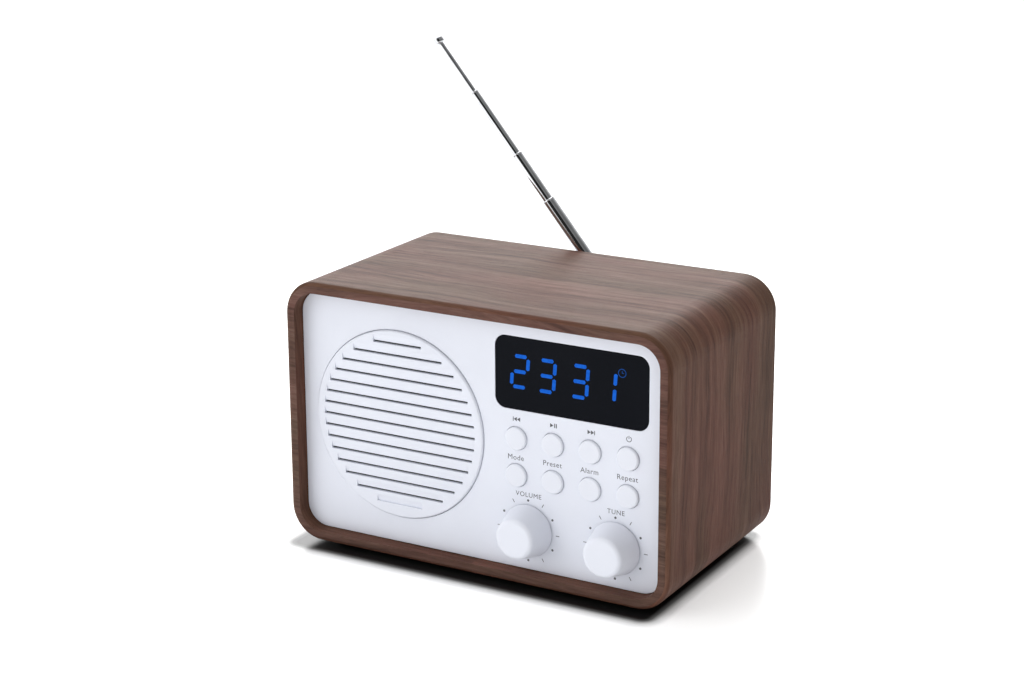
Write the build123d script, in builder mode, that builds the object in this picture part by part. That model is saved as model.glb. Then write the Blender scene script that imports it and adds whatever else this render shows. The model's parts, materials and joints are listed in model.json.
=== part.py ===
from build123d import *
import math
import os

# A tabletop radio: a walnut sleeve closed by a white front panel and a white rear cover.
# X runs to the right, Y runs back and Z runs up, in millimetres. The feet stand on Z = 0, and
# the origin is at the middle of everything's footprint, from the knobs to the antenna.

# ---------------------------------------------------------------- driving dimensions

# Cabinet
cabinet_width = 190.0
cabinet_height = 121.0
cabinet_depth = 107.0
cabinet_radius = 15.5
wall = 4.9
front_edge_radius = 2.4
back_edge_radius = 1.2
foot_height = 1.5
foot_radius = 6.0
foot_inset = 20.0
block = 12.0
block_depth = 14.0

# Front panel, and the rear cover that closes the back
panel_recess = 6.3
panel_thickness = 2.5
cover_recess = 2.0
edge_gap = 0.2
fixing_inset = 7.2
top_fixing_x = 2.5

# Speaker grille
grille_x = -39.7
grille_height = 60.2
grille_radius = 43.0
grille_gap = 0.3
grille_proud = 1.0
slat_thickness = 1.6
slot_count = 14
slot_pitch = 5.3
slot_height = 0.9
slot_circle = 39.0
first_slot = 37.0
bevel_height = 3.2
bevel_depth = 0.8

# Display
window_x = 45.7
window_height = 92.95
window_size = (73.0, 32.3)
window_radius = 5.0
module_x = 42.8
module_size = (58.0, 20.5)

# Buttons
button_columns = (19.4, 37.2, 55.0, 72.8)
button_rows = (63.85, 47.2)
button_radius = 5.2
button_gap = 0.2
button_proud = 1.2
button_travel = 0.8
button_names = (
    ("button_previous", "button_play_pause", "button_next", "button_power"),
    ("button_mode", "button_preset", "button_alarm", "button_repeat"),
)

# Knobs
knob_x = {"volume": 25.1, "tune": 67.1}
knob_height = 23.0
knob_base_radius = 11.8
knob_tip_radius = 8.8
knob_length = 12.4
knob_lift = 0.6
shaft_radius = 3.0
bushing_radius = 3.5

# Circuit boards
board_thickness = 1.6
board_standoff = 12.0

# Telescopic antenna, whose rod lies in a plane parallel to the back
pivot_x = 16.2
pivot_height = 93.6
rod_standoff = 6.0
rod_lean = 39.8
fork_radius = 3.2
swivel_radius = 5.5
section_radius = (2.9, 2.35, 1.8, 1.2)
section_joint = (4.0, 62.6, 88.9, 124.7, 152.5)
section_length = (58.6, 54.0, 51.0, 48.0)
slide_clearance = 0.05
tip_radius = 2.4
tip_length = 3.4

# Rear sockets and battery bay
socket_height = 22.0
dc_x = 62.0
aux_x = 45.0
usb_x = 26.0
bay_x = -38.0
bay_height = 32.0
bay_size = (60.0, 40.0)
bay_wall = 1.5

# ---------------------------------------------------------------- places worked out from them

knob_reach = knob_length + knob_lift - panel_recess
antenna_reach = rod_standoff + fork_radius
front = -(cabinet_depth + antenna_reach - knob_reach) / 2
back = front + cabinet_depth
base = foot_height
middle = base + cabinet_height / 2
inner_width = cabinet_width - 2 * wall
inner_height = cabinet_height - 2 * wall
inner_radius = cabinet_radius - wall

panel_face = front + panel_recess
panel_back = panel_face + panel_thickness
cover_face = back - cover_recess
cover_inner = cover_face - panel_thickness
board_face = panel_back + board_standoff
board_back = board_face + board_thickness
rear_board_back = cover_inner - 13.1
rear_board_face = rear_board_back - board_thickness

grille_z = base + grille_height
grille_face = panel_face - grille_proud
grille_recess = grille_face + slat_thickness
grille_flange_back = panel_back + 1.5
window_z = base + window_height
knob_z = base + knob_height
socket_z = base + socket_height
bay_z = base + bay_height
pivot = Vector(pivot_x, back + rod_standoff, base + pivot_height)

fixing_x = inner_width / 2 - fixing_inset
fixing_z = inner_height / 2 - fixing_inset
block_x = (inner_width - block) / 2
block_z = (inner_height - block) / 2
corners = [(sx, sz) for sx in (-1, 1) for sz in (-1, 1)]
cover_fixings = [(sx * fixing_x, middle + sz * fixing_z) for sx, sz in corners]
cover_blocks = [(sx * block_x, middle + sz * block_z) for sx, sz in corners]
panel_fixings = cover_fixings[:3] + [(top_fixing_x, middle + fixing_z)]
panel_blocks = cover_blocks[:3] + [(top_fixing_x, middle + block_z)]
board_posts = [(11.5, base + 14.5), (48.0, base + 14.5), (11.5, base + 70.0), (84.2, base + 70.0)]
rear_board_posts = [(19.0, base + 34.0), (70.0, base + 34.0)]
speaker_ear = 48.5
small_screw = 1.2
long_screw = 1.4

os.makedirs("parts", exist_ok=True)


def facing(y):
    """The plane at depth y that looks out of the front: x to the right, z up, extrusions come forward."""
    return Plane.XZ.offset(-y)


def axle(x, z):
    """The plane on which a turned piece is drawn, as radius and depth, about the line through x and z."""
    return Plane(origin=(x, 0, z))


def axle_axis(x, z):
    return Axis((x, 0, z), (0, 1, 0))


def save(piece, name):
    """Names a finished piece and writes it to its own file."""
    piece.part.label = name
    export_step(piece.part, f"parts/{name}.step")


# ---------------------------------------------------------------- cabinet

with BuildPart() as wood_cabinet:
    with BuildSketch(facing(back)):
        with Locations((0, middle)):
            RectangleRounded(cabinet_width, cabinet_height, cabinet_radius)
            RectangleRounded(inner_width, inner_height, inner_radius, mode=Mode.SUBTRACT)
    extrude(amount=cabinet_depth)
    rims = wood_cabinet.faces().filter_by(Axis.Y).sort_by(Axis.Y)
    fillet(rims[0].outer_wire().edges(), front_edge_radius)
    rims = wood_cabinet.faces().filter_by(Axis.Y).sort_by(Axis.Y)
    fillet(rims[-1].outer_wire().edges(), back_edge_radius)
save(wood_cabinet, "wood_cabinet")


def fixing_blocks(centres, holes, back_face):
    """Wooden blocks glued inside the sleeve, each with a hole for a long screw."""
    with BuildPart() as blocks:
        with BuildSketch(facing(back_face)):
            with Locations(*centres):
                Rectangle(block, block)
            with Locations((0, middle)):
                RectangleRounded(inner_width, inner_height, inner_radius, mode=Mode.INTERSECT)
            with Locations(*holes):
                Circle(long_screw, mode=Mode.SUBTRACT)
        extrude(amount=block_depth)
    return blocks


front_block_face = panel_back + 2.0
front_block_back = front_block_face + block_depth
save(fixing_blocks(panel_blocks, panel_fixings, front_block_back), "front_corner_blocks")
save(fixing_blocks(cover_blocks, cover_fixings, cover_inner), "rear_corner_blocks")

# Four rubber feet under the sleeve
foot_x = cabinet_width / 2 - foot_inset
foot_places = [(sx * foot_x, y) for sx in (-1, 1) for y in (front + foot_inset, back - foot_inset)]
with BuildPart() as rubber_feet:
    with BuildSketch(Plane.XY):
        with Locations(*foot_places):
            Circle(foot_radius)
    extrude(amount=foot_height)
    chamfer(rubber_feet.faces().filter_by(Axis.Z).group_by(Axis.Z)[0].edges(), 0.4)
save(rubber_feet, "rubber_feet")

# ---------------------------------------------------------------- front panel

window_hole = (window_size[0] + 0.2, window_size[1] + 0.2)
button_places = [(x, base + z) for z in button_rows for x in button_columns]
shaft_places = [(x, knob_z) for x in knob_x.values()]

with BuildPart() as front_panel:
    with BuildSketch(facing(panel_back)):
        with Locations((0, middle)):
            RectangleRounded(inner_width - 2 * edge_gap, inner_height - 2 * edge_gap, inner_radius - edge_gap)
        with Locations((grille_x, grille_z)):
            Circle(grille_radius + grille_gap, mode=Mode.SUBTRACT)
        with Locations((window_x, window_z)):
            RectangleRounded(*window_hole, window_radius + 0.1, mode=Mode.SUBTRACT)
        with Locations(*button_places):
            Circle(button_radius + button_gap, mode=Mode.SUBTRACT)
        with Locations(*shaft_places):
            Circle(bushing_radius + 0.1, mode=Mode.SUBTRACT)
    extrude(amount=panel_thickness)
    fillet(front_panel.faces().sort_by(Axis.Y)[0].outer_wire().edges(), 0.4)
    # Posts behind the panel for the corner blocks, the speaker and the main board
    with BuildSketch(facing(front_block_face)):
        with Locations(*panel_fixings):
            Circle(3.4)
    extrude(amount=2.0)
    with BuildSketch(facing(grille_flange_back)):
        with Locations((grille_x, grille_z)):
            with PolarLocations(speaker_ear, 4, start_angle=45):
                Circle(3.4)
    extrude(amount=grille_flange_back - panel_back)
    with BuildSketch(facing(board_face)):
        with Locations(*board_posts):
            Circle(2.5)
    extrude(amount=board_standoff)
    # Blind screw holes up the posts
    with BuildSketch(facing(front_block_face)):
        with Locations(*panel_fixings):
            Circle(long_screw)
    extrude(amount=3.6, mode=Mode.SUBTRACT)
    with BuildSketch(facing(grille_flange_back)):
        with Locations((grille_x, grille_z)):
            with PolarLocations(speaker_ear, 4, start_angle=45):
                Circle(small_screw)
    extrude(amount=3.0, mode=Mode.SUBTRACT)
    with BuildSketch(facing(board_face)):
        with Locations(*board_posts):
            Circle(small_screw)
    extrude(amount=9.0, mode=Mode.SUBTRACT)
save(front_panel, "front_panel")

# ---------------------------------------------------------------- speaker grille

slot_heights = [first_slot - i * slot_pitch for i in range(slot_count)]


def half_chord(height):
    """Half of the slot's length at that height from the grille's centre."""
    return math.sqrt(slot_circle**2 - height**2)


with BuildPart() as speaker_grille:
    with BuildSketch(facing(panel_back)):
        with Locations((grille_x, grille_z)):
            Circle(grille_radius)
    extrude(amount=panel_back - grille_face)
    fillet(speaker_grille.faces().sort_by(Axis.Y)[0].edges(), 0.9)
    with BuildSketch(facing(grille_flange_back)):
        with Locations((grille_x, grille_z)):
            Circle(grille_radius + 2.0)
    extrude(amount=grille_flange_back - panel_back)
    with BuildSketch(facing(grille_flange_back)):
        with Locations((grille_x, grille_z)):
            Circle(slot_circle + 1.1)
    extrude(amount=grille_flange_back - grille_recess, mode=Mode.SUBTRACT)
    # Long slots, with a bevel over each that faces down and out, and one more bevel below the last
    with BuildSketch(facing(grille_recess)):
        for slot_z in slot_heights:
            with Locations((grille_x, grille_z + slot_z)):
                Rectangle(2 * half_chord(slot_z), slot_height)
    extrude(amount=slat_thickness, mode=Mode.SUBTRACT)
    for bevel_low in [*slot_heights, slot_heights[-1] - slot_pitch]:
        low = grille_z + bevel_low
        with BuildSketch(Plane.YZ.offset(grille_x)):
            with BuildLine():
                Polyline(
                    (grille_face - 1.0, low),
                    (grille_face + bevel_depth, low),
                    (grille_face, low + bevel_height),
                    (grille_face - 1.0, low + bevel_height),
                    close=True,
                )
            make_face()
        extrude(amount=half_chord(bevel_low), both=True, mode=Mode.SUBTRACT)
save(speaker_grille, "speaker_grille")

cloth_back = grille_recess + 0.4
with BuildPart() as grille_cloth:
    with BuildSketch(facing(cloth_back)):
        with Locations((grille_x, grille_z)):
            Circle(slot_circle + 1.0)
    extrude(amount=cloth_back - grille_recess)
save(grille_cloth, "grille_cloth")

# ---------------------------------------------------------------- speaker

speaker_axis = axle_axis(grille_x, grille_z)
basket_front = grille_flange_back
basket_back = basket_front + 20.8
magnet_back = basket_back + 15.0
coil_front = basket_back - 8.4
coil_radius = 13.1
cone_radius = 34.0

with BuildPart() as speaker_frame:
    with BuildSketch(axle(grille_x, grille_z)):
        with BuildLine():
            Polyline(
                (36.5, basket_front),
                (45.0, basket_front),
                (45.0, basket_front + 1.5),
                (39.3, basket_front + 1.5),
                (25.2, basket_back),
                (14.0, basket_back),
                (14.0, basket_back - 1.5),
                (24.2, basket_back - 1.5),
                (36.5, basket_front + 2.5),
                close=True,
            )
        make_face()
    revolve(axis=speaker_axis)
    with BuildSketch(facing(basket_front + 1.5)):
        with Locations((grille_x, grille_z)):
            with PolarLocations(speaker_ear, 4, start_angle=45):
                Circle(4.0)
                Circle(small_screw, mode=Mode.SUBTRACT)
    extrude(amount=1.5)
    with BuildSketch(facing(basket_back)):
        with Locations((grille_x, grille_z)):
            with PolarLocations(31.0, 6):
                RectangleRounded(8.0, 15.0, 2.0)
    extrude(amount=18.0, mode=Mode.SUBTRACT)
save(speaker_frame, "speaker_frame")

with BuildPart() as speaker_magnet:
    with BuildSketch(axle(grille_x, grille_z)):
        with BuildLine():
            Polyline(
                (0, basket_back - 2.0),
                (12.0, basket_back - 2.0),
                (12.0, magnet_back - 3.5),
                (13.6, magnet_back - 3.5),
                (13.6, basket_back),
                (22.5, basket_back),
                (22.5, magnet_back),
                (0, magnet_back),
                close=True,
            )
        make_face()
    revolve(axis=speaker_axis)
    fillet(speaker_magnet.faces().sort_by(Axis.Y)[-1].edges(), 1.0)
save(speaker_magnet, "speaker_magnet")

with BuildPart() as speaker_coil:
    with BuildSketch(axle(grille_x, grille_z)):
        with Locations((coil_radius - 0.3, coil_front + 7.0)):
            Rectangle(0.6, 14.0)
    revolve(axis=speaker_axis)
save(speaker_coil, "speaker_coil")

with BuildPart() as speaker_cone:
    with BuildSketch(axle(grille_x, grille_z)):
        with BuildLine():
            Polyline(
                (coil_radius, coil_front + 0.3),
                (cone_radius, basket_front - 0.3),
                (cone_radius, basket_front + 0.4),
                (coil_radius, coil_front + 1.1),
                close=True,
            )
        make_face()
    revolve(axis=speaker_axis)
save(speaker_cone, "speaker_cone")

with BuildPart() as speaker_surround:
    with BuildSketch(axle(grille_x, grille_z)):
        with Locations((cone_radius + 1.8, basket_front - 0.4)):
            Circle(1.8)
            Circle(1.4, mode=Mode.SUBTRACT)
        with Locations((cone_radius + 1.8, basket_front + 1.6)):
            Rectangle(6.0, 4.0, mode=Mode.SUBTRACT)
        with Locations((cone_radius + 4.2, basket_front - 0.2)):
            Rectangle(1.6, 0.4)
    revolve(axis=speaker_axis)
save(speaker_surround, "speaker_surround")

cap_rise = 5.6
cap_radius = (12.9**2 + cap_rise**2) / (2 * cap_rise)
with BuildPart() as speaker_dust_cap:
    with BuildSketch(axle(grille_x, grille_z)):
        with Locations((0, coil_front - cap_rise + cap_radius)):
            Circle(cap_radius)
            Circle(cap_radius - 0.6, mode=Mode.SUBTRACT)
            with Locations((-cap_radius, 0)):
                Rectangle(2 * cap_radius, 2 * cap_radius, mode=Mode.SUBTRACT)
            with Locations((0, cap_rise)):
                Rectangle(2 * cap_radius, 2 * cap_radius, mode=Mode.SUBTRACT)
    revolve(axis=speaker_axis)
save(speaker_dust_cap, "speaker_dust_cap")

with BuildPart() as speaker_spider:
    with BuildSketch(facing(coil_front + 3.4)):
        with Locations((grille_x, grille_z)):
            Circle(26.2)
            Circle(coil_radius, mode=Mode.SUBTRACT)
    extrude(amount=0.6)
save(speaker_spider, "speaker_spider")


def screws(places, seat, head_radius, head_height, shank_radius, shank_length):
    """Pan-head screws driven from behind: heads behind depth seat, shanks reaching forward from it."""
    with BuildPart() as group:
        with BuildSketch(facing(seat + head_height)):
            with Locations(*places):
                Circle(head_radius)
        extrude(amount=head_height)
        fillet(group.faces().filter_by(Axis.Y).group_by(Axis.Y)[-1].edges(), head_height * 0.45)
        with BuildSketch(facing(seat)):
            with Locations(*places):
                Circle(shank_radius)
        extrude(amount=shank_length)
        with BuildSketch(facing(seat + head_height)):
            with Locations(*places):
                Rectangle(head_radius * 1.1, head_radius * 0.28)
                Rectangle(head_radius * 0.28, head_radius * 1.1)
        extrude(amount=head_height * 0.6, mode=Mode.SUBTRACT)
    return group


ear_places = [
    (grille_x + speaker_ear * math.cos(math.radians(a)), grille_z + speaker_ear * math.sin(math.radians(a)))
    for a in (45, 135, 225, 315)
]
save(screws(ear_places, basket_front + 1.5, 2.6, 1.6, small_screw, 4.4), "speaker_screws")
save(screws(panel_fixings, front_block_back, 2.8, 1.8, long_screw, block_depth + 3.4), "panel_screws")
save(screws(board_posts, board_back, 2.4, 1.5, small_screw, board_thickness + 8.0), "board_screws")

# ---------------------------------------------------------------- display

with BuildPart() as display_window:
    with BuildSketch(facing(panel_back)):
        with Locations((window_x, window_z)):
            RectangleRounded(*window_size, window_radius)
    extrude(amount=panel_thickness)
    with BuildSketch(facing(panel_back + 1.0)):
        with Locations((window_x, window_z)):
            RectangleRounded(window_size[0] + 3.6, window_size[1] + 3.6, window_radius + 1.8)
    extrude(amount=1.0)
    fillet(display_window.faces().sort_by(Axis.Y)[0].edges(), 0.3)
save(display_window, "display_window")

module_front = panel_back + 1.4
with BuildPart() as led_display:
    with BuildSketch(facing(board_face)):
        with Locations((module_x, window_z)):
            Rectangle(*module_size)
    extrude(amount=board_face - module_front)
save(led_display, "led_display")

# ---------------------------------------------------------------- buttons and switches

flange_front = panel_back + 0.1
flange_back = flange_front + 1.0
switch_front = board_face - 4.3
stem_tip = switch_front + 0.3
stem_radius = 1.65
switch_well = stem_tip - switch_front + button_travel + 0.5

for row, names in zip(button_rows, button_names):
    for column, button_name in zip(button_columns, names):
        with BuildPart() as button:
            with BuildSketch(facing(flange_front)):
                with Locations((column, base + row)):
                    Circle(button_radius)
            extrude(amount=flange_front - (panel_face - button_proud))
            fillet(button.faces().sort_by(Axis.Y)[0].edges(), 0.9)
            with BuildSketch(facing(flange_back)):
                with Locations((column, base + row)):
                    Circle(button_radius + 1.0)
            extrude(amount=flange_back - flange_front)
            with BuildSketch(facing(stem_tip)):
                with Locations((column, base + row)):
                    Circle(stem_radius)
            extrude(amount=stem_tip - flange_back)
        save(button, button_name)

with BuildPart() as tact_switches:
    with BuildSketch(facing(board_face)):
        with Locations(*button_places):
            Rectangle(6.0, 6.0)
    extrude(amount=board_face - switch_front)
    with BuildSketch(facing(switch_front + switch_well)):
        with Locations(*button_places):
            Circle(stem_radius + 0.1)
    extrude(amount=switch_well, mode=Mode.SUBTRACT)
save(tact_switches, "tact_switches")

# ---------------------------------------------------------------- knobs, shafts and controls

knob_back = panel_face - knob_lift
knob_front = knob_back - knob_length
nut_front = panel_face - 2.0
bushing_front = nut_front - 0.2
hub_back = bushing_front - 0.6
cavity_front = knob_back - 8.0
bore_front = knob_back - 10.0
control_front = panel_back + 2.3
shaft_back = control_front + 5.0
control_names = {"volume": "volume_control", "tune": "tune_encoder"}

for side, x in knob_x.items():
    spin = axle_axis(x, knob_z)
    with BuildPart() as knob:
        with BuildSketch(axle(x, knob_z)):
            with BuildLine():
                Polyline(
                    (0, knob_front),
                    (knob_tip_radius, knob_front),
                    (knob_base_radius, knob_back),
                    (9.6, knob_back),
                    (8.0, cavity_front),
                    (4.6, cavity_front),
                    (4.6, hub_back),
                    (shaft_radius, hub_back),
                    (shaft_radius, bore_front),
                    (0, bore_front),
                    close=True,
                )
            make_face()
        revolve(axis=spin)
        fillet(knob.faces().sort_by(Axis.Y)[0].edges(), 2.2)
    save(knob, f"{side}_knob")

    with BuildPart() as shaft:
        with BuildSketch(facing(shaft_back - 0.1)):
            with Locations((x, knob_z)):
                Circle(shaft_radius)
        extrude(amount=shaft_back - 0.1 - bore_front)
    save(shaft, f"{side}_shaft")

    with BuildPart() as control:
        with BuildSketch(facing(board_face)):
            with Locations((x, knob_z)):
                RectangleRounded(14.0, 14.0, 1.0)
        extrude(amount=board_face - control_front)
        with BuildSketch(facing(control_front)):
            with Locations((x, knob_z)):
                Circle(bushing_radius)
        extrude(amount=control_front - bushing_front)
        with BuildSketch(facing(shaft_back)):
            with Locations((x, knob_z)):
                Circle(shaft_radius + 0.05)
        extrude(amount=shaft_back - bushing_front, mode=Mode.SUBTRACT)
    save(control, control_names[side])

with BuildPart() as bushing_nuts:
    with BuildSketch(facing(panel_face)):
        with Locations(*shaft_places):
            RegularPolygon(5.7, 6)
            Circle(bushing_radius, mode=Mode.SUBTRACT)
    extrude(amount=panel_face - nut_front)
save(bushing_nuts, "bushing_nuts")

# ---------------------------------------------------------------- main board

board_left, board_right = 9.0, 87.0
board_low, board_high = base + 10.0, base + 110.0
notch = 12.0

with BuildPart() as main_board:
    with BuildSketch(facing(board_back)):
        with Locations(((board_left + board_right) / 2, (board_low + board_high) / 2)):
            Rectangle(board_right - board_left, board_high - board_low)
        with Locations((board_right, board_low)):
            Rectangle(2 * notch, 2 * notch, mode=Mode.SUBTRACT)
        with Locations(*board_posts):
            Circle(small_screw, mode=Mode.SUBTRACT)
    extrude(amount=board_thickness)
save(main_board, "main_board")

with BuildPart() as tuner_can:
    with BuildSketch(facing(board_back + 7.0)):
        with Locations((30.0, base + 92.0)):
            RectangleRounded(26.0, 20.0, 1.0)
    extrude(amount=7.0)
    fillet(tuner_can.faces().sort_by(Axis.Y)[-1].edges(), 0.8)
save(tuner_can, "tuner_can")

with BuildPart() as capacitors:
    with BuildSketch(facing(board_back + 12.0)):
        with Locations((60.0, base + 88.0), (60.0, base + 74.0), (72.0, base + 80.0)):
            Circle(4.0)
    extrude(amount=12.0)
    fillet(capacitors.faces().filter_by(Axis.Y).group_by(Axis.Y)[-1].edges(), 0.6)
save(capacitors, "capacitors")

# ---------------------------------------------------------------- rear cover

jack_face = cover_face - 0.2
dc_nose, aux_nose = 3.9, 3.2
usb_size = (14.5, 7.0)
swivel_shaft = 2.5
bay_floor = cover_inner - 8.7
ledge = cover_face - 2.1
door_axis_y = cover_face - 1.0
door_axis_z = bay_z - bay_size[1] / 2 + 1.2
pin_radius = 0.7
vent_rows = 7
vent_size = (27.0, 2.4)

with BuildPart() as rear_cover:
    with BuildSketch(facing(cover_face)):
        with Locations((0, middle)):
            RectangleRounded(inner_width - 2 * edge_gap, inner_height - 2 * edge_gap, inner_radius - edge_gap)
        with Locations((pivot.X, pivot.Z)):
            Circle(swivel_shaft + 0.05, mode=Mode.SUBTRACT)
        with Locations((dc_x, socket_z)):
            Circle(dc_nose + 0.1, mode=Mode.SUBTRACT)
        with Locations((aux_x, socket_z)):
            Circle(aux_nose + 0.1, mode=Mode.SUBTRACT)
        with Locations((usb_x, socket_z)):
            RectangleRounded(usb_size[0] + 0.4, usb_size[1] + 0.4, 0.8, mode=Mode.SUBTRACT)
        with Locations((-38.0, base + 85.0)):
            with GridLocations(32.0, 5.2, 2, vent_rows):
                SlotOverall(*vent_size, mode=Mode.SUBTRACT)
        with Locations(*cover_fixings):
            Circle(long_screw, mode=Mode.SUBTRACT)
        with Locations((bay_x, bay_z)):
            Rectangle(bay_size[0] - 2 * bay_wall, bay_size[1] - 2 * bay_wall, mode=Mode.SUBTRACT)
    extrude(amount=panel_thickness)
    fillet(rear_cover.faces().sort_by(Axis.Y)[-1].outer_wire().edges(), 0.4)
    # Battery bay behind the door
    with BuildSketch(facing(cover_inner)):
        with Locations((bay_x, bay_z)):
            Rectangle(*bay_size)
            Rectangle(bay_size[0] - 2 * bay_wall, bay_size[1] - 2 * bay_wall, mode=Mode.SUBTRACT)
    extrude(amount=cover_inner - bay_floor)
    with BuildSketch(facing(bay_floor + bay_wall)):
        with Locations((bay_x, bay_z)):
            Rectangle(*bay_size)
    extrude(amount=bay_wall)
    with BuildSketch(facing(cover_face)):
        with Locations((bay_x, bay_z)):
            Rectangle(*bay_size)
    extrude(amount=cover_face - ledge, mode=Mode.SUBTRACT)
    with BuildSketch(Plane.YZ.offset(bay_x)):
        with Locations((door_axis_y, door_axis_z)):
            Circle(pin_radius + 0.05)
    extrude(amount=bay_size[0] / 2 + 1.0, both=True, mode=Mode.SUBTRACT)
    # Countersinks for the four long screws
    with Locations(*[Plane(origin=(x, cover_face, z), z_dir=(0, 1, 0)) for x, z in cover_fixings]):
        CounterSinkHole(long_screw, 2.9, depth=panel_thickness)
    # Posts for the socket board
    with BuildSketch(facing(cover_inner)):
        with Locations(*rear_board_posts):
            Circle(2.5)
    extrude(amount=cover_inner - rear_board_back)
    with BuildSketch(facing(rear_board_back + 9.0)):
        with Locations(*rear_board_posts):
            Circle(small_screw)
    extrude(amount=9.0, mode=Mode.SUBTRACT)
save(rear_cover, "rear_cover")

with BuildPart() as rear_screws:
    for screw_x, screw_z in cover_fixings:
        with BuildSketch(axle(screw_x, screw_z)):
            with BuildLine():
                Polyline(
                    (0, cover_face - 0.1),
                    (2.7, cover_face - 0.1),
                    (long_screw, cover_face - 0.1 - (2.7 - long_screw)),
                    (long_screw, cover_face - 16.0),
                    (0, cover_face - 16.0),
                    close=True,
                )
            make_face()
        revolve(axis=axle_axis(screw_x, screw_z))
    with BuildSketch(facing(cover_face - 0.1)):
        with Locations(*cover_fixings):
            Rectangle(3.2, 0.8)
            Rectangle(0.8, 3.2)
    extrude(amount=1.0, mode=Mode.SUBTRACT)
save(rear_screws, "rear_screws")

# ---------------------------------------------------------------- battery bay

door_low = door_axis_z - 1.0
door_high = bay_z + bay_size[1] / 2 - 0.2
door_half_width = bay_size[0] / 2 - 0.2

with BuildPart() as battery_door:
    with BuildSketch(Plane.YZ.offset(bay_x)):
        with Locations((door_axis_y, door_axis_z)):
            Circle(1.0)
        with Locations((door_axis_y, (door_axis_z + door_high) / 2)):
            Rectangle(2.0, door_high - door_axis_z)
    extrude(amount=door_half_width, both=True)
    with BuildSketch(Plane.YZ.offset(bay_x)):
        with Locations((door_axis_y, door_axis_z)):
            Circle(pin_radius)
    extrude(amount=door_half_width + 0.9, both=True)
    # A thumb notch of five grooves near the free edge
    with BuildSketch(facing(cover_face)):
        with Locations((bay_x, door_high - 7.0)):
            with GridLocations(0, 1.8, 1, 5):
                SlotOverall(14.0, 0.9)
    extrude(amount=0.6, mode=Mode.SUBTRACT)
save(battery_door, "battery_door")

cell_size = (54.0, 34.0)
cell_front = bay_floor + bay_wall
with BuildPart() as battery_cell:
    with BuildSketch(facing(cell_front + 5.7)):
        with Locations((bay_x, bay_z)):
            RectangleRounded(*cell_size, 2.0)
    extrude(amount=5.7)
    fillet(battery_cell.faces().filter_by(Axis.Y).edges(), 1.2)
save(battery_cell, "battery_cell")

with BuildPart() as battery_contacts:
    with BuildSketch(facing(cell_front + 4.6)):
        with Locations((bay_x + cell_size[0] / 2 + 0.75, bay_z)):
            with GridLocations(0, 9.0, 1, 3):
                Rectangle(1.5, 3.0)
    extrude(amount=3.6)
save(battery_contacts, "battery_contacts")

# ---------------------------------------------------------------- rear sockets

with BuildPart() as socket_board:
    with BuildSketch(facing(rear_board_back)):
        with Locations((44.5, base + 25.0)):
            Rectangle(61.0, 26.0)
        with Locations(*rear_board_posts):
            Circle(small_screw, mode=Mode.SUBTRACT)
    extrude(amount=board_thickness)
save(socket_board, "socket_board")

# The socket board's screws go in from the front, into the cover's posts
with BuildPart() as socket_screws:
    with BuildSketch(facing(rear_board_face)):
        with Locations(*rear_board_posts):
            Circle(2.4)
    extrude(amount=1.5)
    with BuildSketch(facing(rear_board_back + 8.0)):
        with Locations(*rear_board_posts):
            Circle(small_screw)
    extrude(amount=board_thickness + 8.0)
save(socket_screws, "socket_screws")


def round_socket(x, body, nose_radius, bore_radius, bore_depth, pin=0):
    """A moulded socket block on the rear board, with a round nose that fills its hole in the cover
    and, where pin is its radius, a contact pin up the middle of its bore."""
    with BuildPart() as socket:
        with BuildSketch(facing(cover_inner - 0.1)):
            with Locations((x, socket_z)):
                RectangleRounded(*body, 0.8)
        extrude(amount=cover_inner - 0.1 - rear_board_back)
        with BuildSketch(facing(jack_face)):
            with Locations((x, socket_z)):
                Circle(nose_radius)
        extrude(amount=jack_face - (cover_inner - 0.1))
        with BuildSketch(facing(jack_face)):
            with Locations((x, socket_z)):
                Circle(bore_radius)
        extrude(amount=bore_depth, mode=Mode.SUBTRACT)
        if pin:
            with BuildSketch(facing(jack_face - 0.6)):
                with Locations((x, socket_z)):
                    Circle(pin)
            extrude(amount=bore_depth)
    return socket


save(round_socket(aux_x, (8.0, 9.0), aux_nose, 1.8, 13.0), "aux_socket")
save(round_socket(dc_x, (9.0, 11.0), dc_nose, 2.8, 9.0, pin=1.0), "dc_socket")

with BuildPart() as usb_socket:
    with BuildSketch(facing(jack_face)):
        with Locations((usb_x, socket_z)):
            RectangleRounded(*usb_size, 0.6)
    extrude(amount=jack_face - rear_board_back)
    with BuildSketch(facing(jack_face)):
        with Locations((usb_x, socket_z)):
            Rectangle(usb_size[0] - 1.0, usb_size[1] - 1.0)
    extrude(amount=12.0, mode=Mode.SUBTRACT)
    with BuildSketch(facing(jack_face - 1.0)):
        with Locations((usb_x, socket_z + 1.4)):
            Rectangle(11.1, 1.8)
    extrude(amount=12.0)
save(usb_socket, "usb_socket")

# ---------------------------------------------------------------- antenna

lean = math.radians(rod_lean)
across = Vector(math.cos(lean), 0, math.sin(lean))
along = Vector(-math.sin(lean), 0, math.cos(lean))
rod_plane = Plane(origin=pivot, x_dir=across, z_dir=along)
lug_plane = Plane(origin=pivot, x_dir=(0, 1, 0), z_dir=across)
disc_back = cover_face + 2.0
ring_front = cover_inner - 0.8
shaft_end = ring_front - 0.1
hinge_pin_radius = 1.0
lug_half = 1.2
fork_gap = 1.3
fork_half = 2.6

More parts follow.
